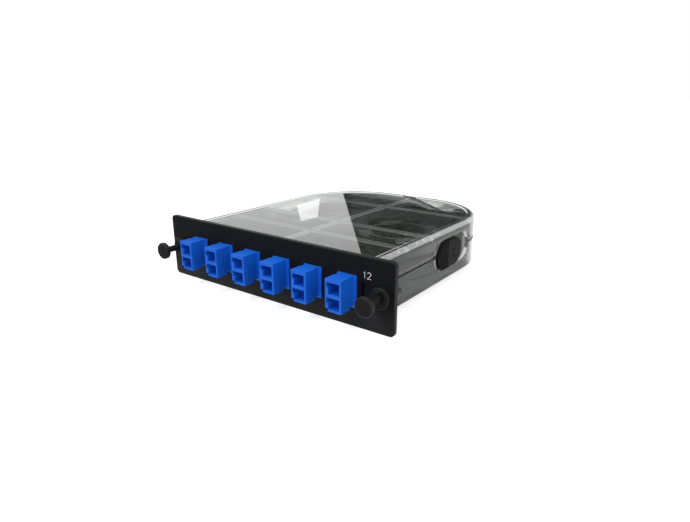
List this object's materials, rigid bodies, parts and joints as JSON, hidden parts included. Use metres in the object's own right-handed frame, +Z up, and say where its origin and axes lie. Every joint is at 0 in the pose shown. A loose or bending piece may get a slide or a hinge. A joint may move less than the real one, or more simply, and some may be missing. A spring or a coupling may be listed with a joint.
{
  "type": "fibre cassette",
  "caption": "Patch-and-splice fibre cassette: faceplate with a row of duplex adapters and two push-pull latches on a clear D-shaped housing with a lift-off cover.",
  "frame": {"origin": "midway between the two latches, on the faceplate's rear (seating) face", "axes": "+X to the right seen from the front, +Y from the faceplate back into the rack, +Z up"},
  "size_m": [0.13, 0.1373, 0.03],
  "materials": {
    "black_powder_coat": "satin powder coat on sheet steel",
    "clear_housing": "clear smoky polycarbonate, polished",
    "black_rubber": "matt moulded",
    "black_nylon": "satin moulded nylon",
    "blue_plastic": "satin moulded",
    "spring_steel": "bright rolled strip",
    "white_ceramic": "polished",
    "green_plastic": "satin moulded"
  },
  "bodies": {
    "cassette": {"faceplate": "black_powder_coat", "base_tray": "clear_housing", "cable_grommet": "black_rubber", "splice_holder": "green_plastic", "left_latch_bush": "black_nylon", "right_latch_bush": "black_nylon", "adapter_1_front": "blue_plastic", "adapter_1_rear": "blue_plastic", "adapter_1_clip": "spring_steel", "adapter_1_sleeves": "white_ceramic", "adapter_2_front": "blue_plastic", "adapter_2_rear": "blue_plastic", "adapter_2_clip": "spring_steel", "adapter_2_sleeves": "white_ceramic", "adapter_3_front": "blue_plastic", "adapter_3_rear": "blue_plastic", "adapter_3_clip": "spring_steel", "adapter_3_sleeves": "white_ceramic", "adapter_4_front": "blue_plastic", "adapter_4_rear": "blue_plastic", "adapter_4_clip": "spring_steel", "adapter_4_sleeves": "white_ceramic", "adapter_5_front": "blue_plastic", "adapter_5_rear": "blue_plastic", "adapter_5_clip": "spring_steel", "adapter_5_sleeves": "white_ceramic", "adapter_6_front": "blue_plastic", "adapter_6_rear": "blue_plastic", "adapter_6_clip": "spring_steel", "adapter_6_sleeves": "white_ceramic"},
    "cover": {"cover": "clear_housing"},
    "left_plunger": {"left_plunger": "black_nylon"},
    "right_plunger": {"right_plunger": "black_nylon"}
  },
  "joints": [
    {"name": "left_plunger_push", "type": "slide", "parent": "cassette", "child": "left_plunger", "axis": [0, 1, 0], "range_m": [0, 0.0077]},
    {"name": "right_plunger_push", "type": "slide", "parent": "cassette", "child": "right_plunger", "axis": [0, 1, 0], "range_m": [0, 0.0077]},
    {"name": "cover_lift", "type": "slide", "parent": "cassette", "child": "cover", "axis": [0, 0, 1], "range_m": [0, 0.03]}
  ]
}
